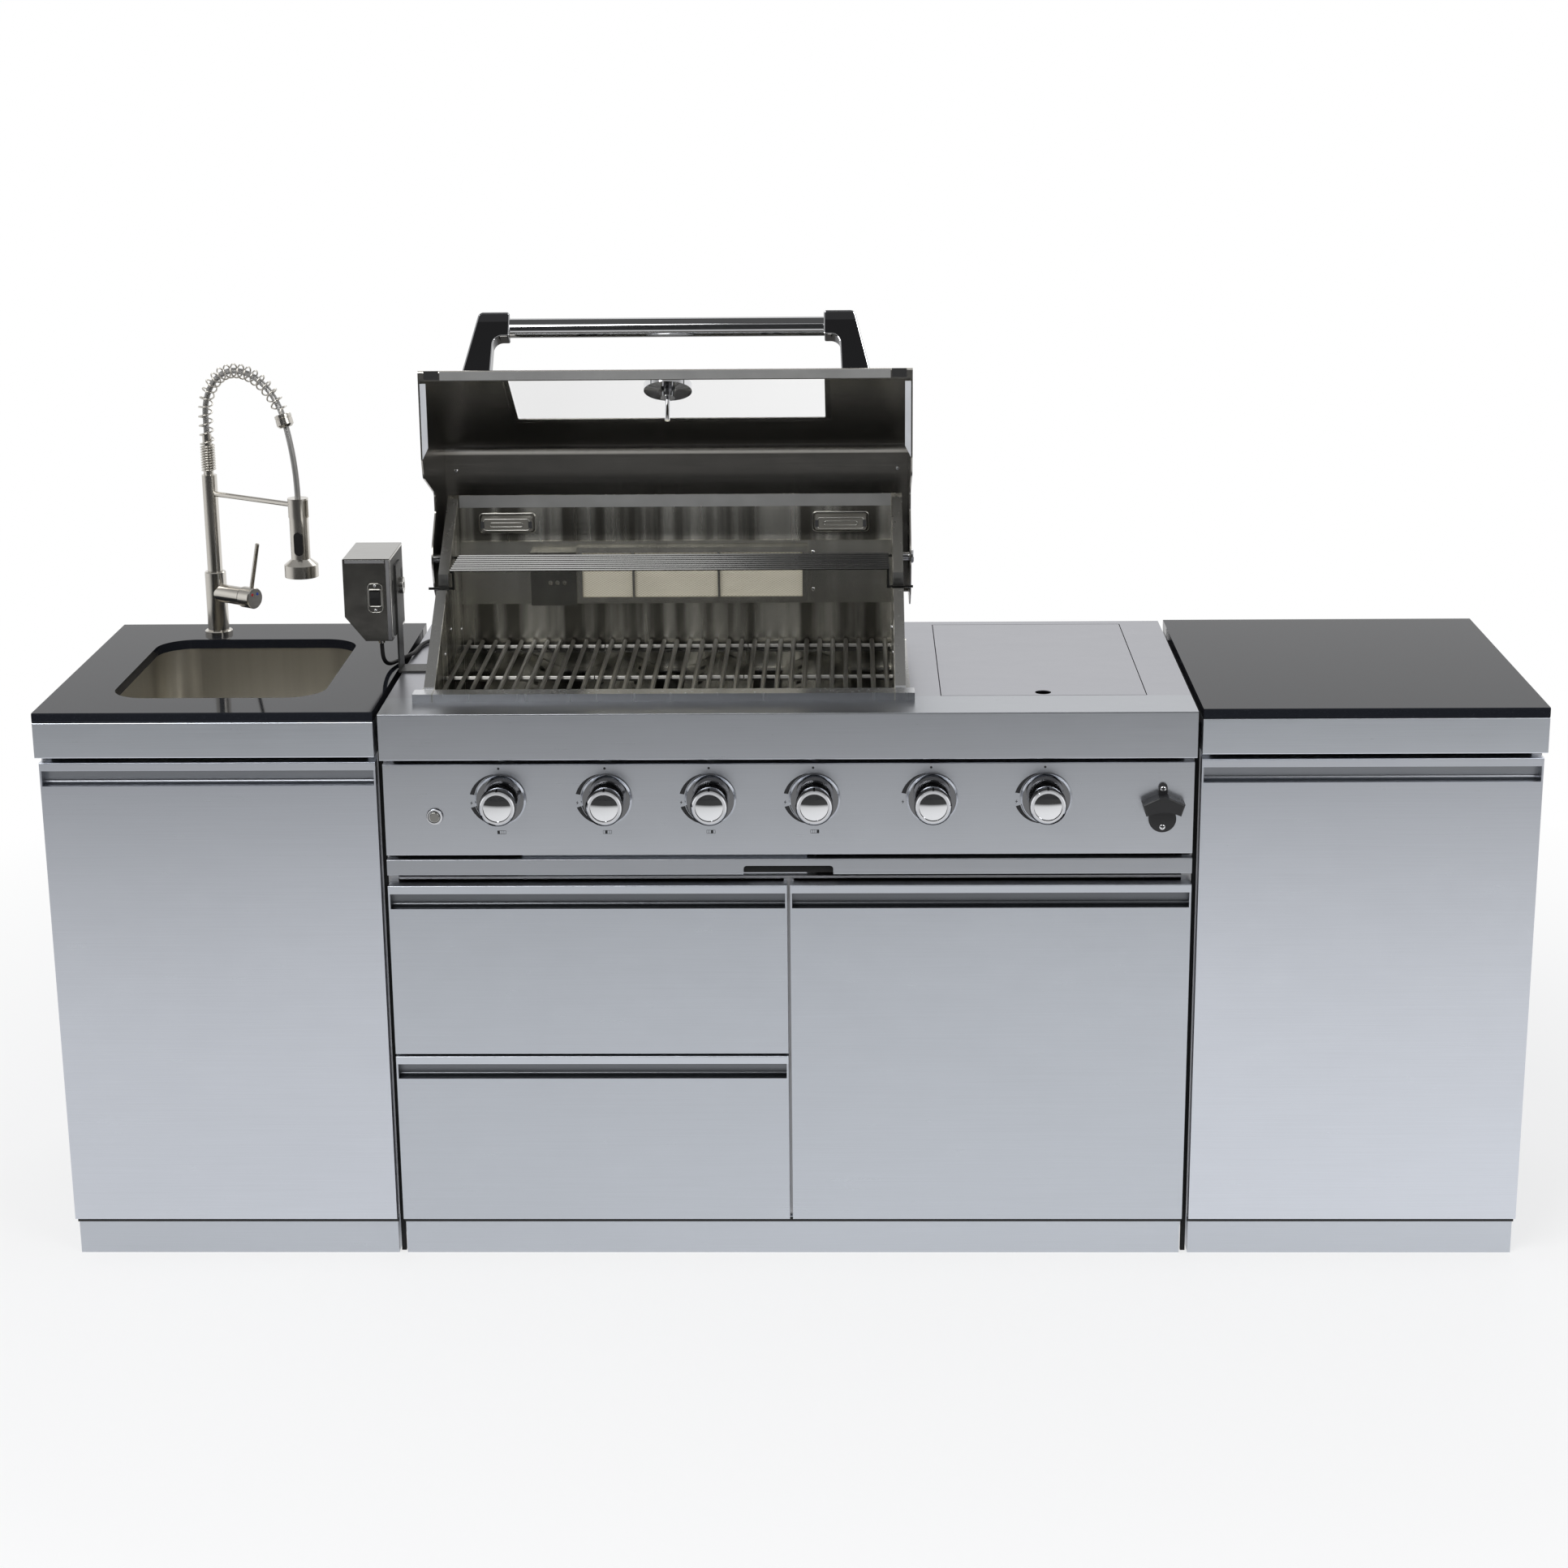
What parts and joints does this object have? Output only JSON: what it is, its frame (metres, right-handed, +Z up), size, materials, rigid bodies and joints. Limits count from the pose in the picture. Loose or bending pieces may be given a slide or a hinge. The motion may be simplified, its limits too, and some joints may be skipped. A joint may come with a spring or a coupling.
{
  "type": "outdoor kitchen gas barbecue",
  "caption": "Free-standing outdoor kitchen with a gas grill under a hinged windowed hood, side burner, rotisserie motor, sink with spring tap, doors and drawers.",
  "frame": {"origin": "floor under the centre of the three cabinets", "axes": "+X to the user's right along the front, +Y to the back, +Z up"},
  "size_m": [2.4, 0.681, 1.5292],
  "materials": {
    "satin_steel": "satin brushed",
    "polished_steel": "polished",
    "satin_nickel": "satin",
    "lamp_steel": "satin",
    "clear_glass": "clear",
    "burner_ceramic": "matt",
    "black_iron": "satin",
    "dark_stone": "honed",
    "black_rubber": "matt",
    "black_plastic": "satin"
  },
  "bodies": {
    "kitchen": {"back_burner": "satin_steel", "back_burner_tile": "burner_ceramic", "bottle_opener": "black_iron", "control_panel": "satin_steel", "cooking_grates": "satin_steel", "firebox": "satin_steel", "flame_tamers": "satin_steel", "front_band": "satin_steel", "gas_manifold": "satin_steel", "grill_cabinet": "satin_steel", "grill_deck": "satin_steel", "hood_pivots": "satin_steel", "knob_bezels": "polished_steel", "main_burners": "satin_steel", "oven_lamps": "lamp_steel", "plinths": "satin_steel", "side_cabinet": "satin_steel", "side_worktop": "dark_stone", "sink_bowl": "satin_steel", "sink_cabinet": "satin_steel", "sink_waste": "satin_steel", "sink_worktop": "dark_stone", "warming_rack": "satin_steel", "worktop_fascias": "satin_steel", "side_burner": "satin_steel", "rotisserie_bracket": "satin_steel", "rotisserie_motor": "satin_steel", "tap_body": "satin_nickel", "cord_run": "black_rubber", "cord_coil": "black_rubber", "cord_plug": "black_plastic"},
    "sink_leaf": {"sink_door": "satin_steel"},
    "side_leaf": {"side_door": "satin_steel"},
    "gas_leaf": {"gas_door": "satin_steel"},
    "upper_drawer": {"drawer_upper_front": "satin_steel", "drawer_upper_box": "satin_steel"},
    "lower_drawer": {"drawer_lower_front": "satin_steel", "drawer_lower_box": "satin_steel"},
    "tray": {"grease_tray": "satin_steel"},
    "hood": {"hood_shell": "satin_steel", "hood_end_caps": "satin_steel", "hood_window": "clear_glass", "hood_handle": "satin_steel", "hood_handle_brackets": "satin_steel", "thermometer": "polished_steel"},
    "button": {"light_button": "polished_steel"},
    "burner_lid": {"side_burner_lid": "satin_steel"},
    "tap_arm": {"tap_column": "satin_nickel", "tap_spring": "satin_nickel", "tap_hose": "satin_nickel", "tap_spray_head": "satin_nickel"},
    "lever": {"tap_lever": "satin_nickel"},
    "spray_toggle": {"tap_spray_toggle": "black_plastic"},
    "rocker": {"motor_switch": "black_plastic"},
    "knob_body_1": {"knob_1": "polished_steel"},
    "knob_body_2": {"knob_2": "polished_steel"},
    "knob_body_3": {"knob_3": "polished_steel"},
    "knob_body_4": {"knob_4": "polished_steel"},
    "knob_body_5": {"knob_5": "polished_steel"},
    "knob_body_6": {"knob_6": "polished_steel"}
  },
  "joints": [
    {"name": "sink_door_hinge", "type": "hinge", "parent": "kitchen", "child": "sink_leaf", "pos_m": [-1.1985, -0.2845, 0.464], "axis": [0, 0, -1], "range_deg": [0, 105]},
    {"name": "side_door_hinge", "type": "hinge", "parent": "kitchen", "child": "side_leaf", "pos_m": [1.1985, -0.2845, 0.464], "axis": [0, 0, 1], "range_deg": [0, 105]},
    {"name": "gas_door_hinge", "type": "hinge", "parent": "kitchen", "child": "gas_leaf", "pos_m": [0.6475, -0.2845, 0.36], "axis": [0, 0, 1], "range_deg": [0, 100]},
    {"name": "upper_drawer_slide", "type": "slide", "parent": "kitchen", "child": "upper_drawer", "axis": [0, -1, 0], "range_m": [0, 0.45]},
    {"name": "lower_drawer_slide", "type": "slide", "parent": "kitchen", "child": "lower_drawer", "axis": [0, -1, 0], "range_m": [0, 0.45]},
    {"name": "grease_tray_slide", "type": "slide", "parent": "kitchen", "child": "tray", "axis": [0, -1, 0], "range_m": [0, 0.4]},
    {"name": "hood_hinge", "type": "hinge", "parent": "kitchen", "child": "hood", "pos_m": [-0.2, 0.1295, 1.105], "axis": [1, 0, 0], "range_deg": [0, 90]},
    {"name": "knob_1_turn", "type": "hinge", "parent": "kitchen", "child": "knob_body_1", "pos_m": [-0.46, -0.3105, 0.796], "axis": [0, -1, 0], "range_deg": [0, 180]},
    {"name": "knob_2_turn", "type": "hinge", "parent": "kitchen", "child": "knob_body_2", "pos_m": [-0.29, -0.3105, 0.796], "axis": [0, -1, 0], "range_deg": [0, 180]},
    {"name": "knob_3_turn", "type": "hinge", "parent": "kitchen", "child": "knob_body_3", "pos_m": [-0.1235, -0.3105, 0.796], "axis": [0, -1, 0], "range_deg": [0, 180]},
    {"name": "knob_4_turn", "type": "hinge", "parent": "kitchen", "child": "knob_body_4", "pos_m": [0.043, -0.3105, 0.796], "axis": [0, -1, 0], "range_deg": [0, 180]},
    {"name": "knob_5_turn", "type": "hinge", "parent": "kitchen", "child": "knob_body_5", "pos_m": [0.231, -0.3105, 0.796], "axis": [0, -1, 0], "range_deg": [0, 90]},
    {"name": "knob_6_turn", "type": "hinge", "parent": "kitchen", "child": "knob_body_6", "pos_m": [0.41225, -0.3105, 0.796], "axis": [0, -1, 0], "range_deg": [0, 180]},
    {"name": "light_button_press", "type": "slide", "parent": "kitchen", "child": "button", "axis": [0, 1, 0], "range_m": [0, 0.003], "stiffness_N_per_m": 300},
    {"name": "burner_lid_hinge", "type": "hinge", "parent": "kitchen", "child": "burner_lid", "pos_m": [0.41225, 0.3155, 0.942], "axis": [-1, 0, 0], "range_deg": [0, 95]},
    {"name": "tap_swivel", "type": "hinge", "parent": "kitchen", "child": "tap_arm", "pos_m": [-1.015, 0.2595, 1.069], "axis": [0, 0, 1], "range_deg": [-100, 100]},
    {"name": "tap_lever_turn", "type": "hinge", "parent": "kitchen", "child": "lever", "pos_m": [-0.95319, 0.21702, 1.02], "axis": [0.8241, -0.5664, 0], "range_deg": [-45, 45]},
    {"name": "spray_toggle_rock", "type": "hinge", "parent": "tap_arm", "child": "spray_toggle", "pos_m": [-0.83981, 0.12369, 1.132], "axis": [1, 0, 0], "range_deg": [-4, 4]},
    {"name": "motor_switch_rock", "type": "hinge", "parent": "kitchen", "child": "rocker", "pos_m": [-0.681, -0.07, 1.08], "axis": [1, 0, 0], "range_deg": [-8, 8]}
  ]
}
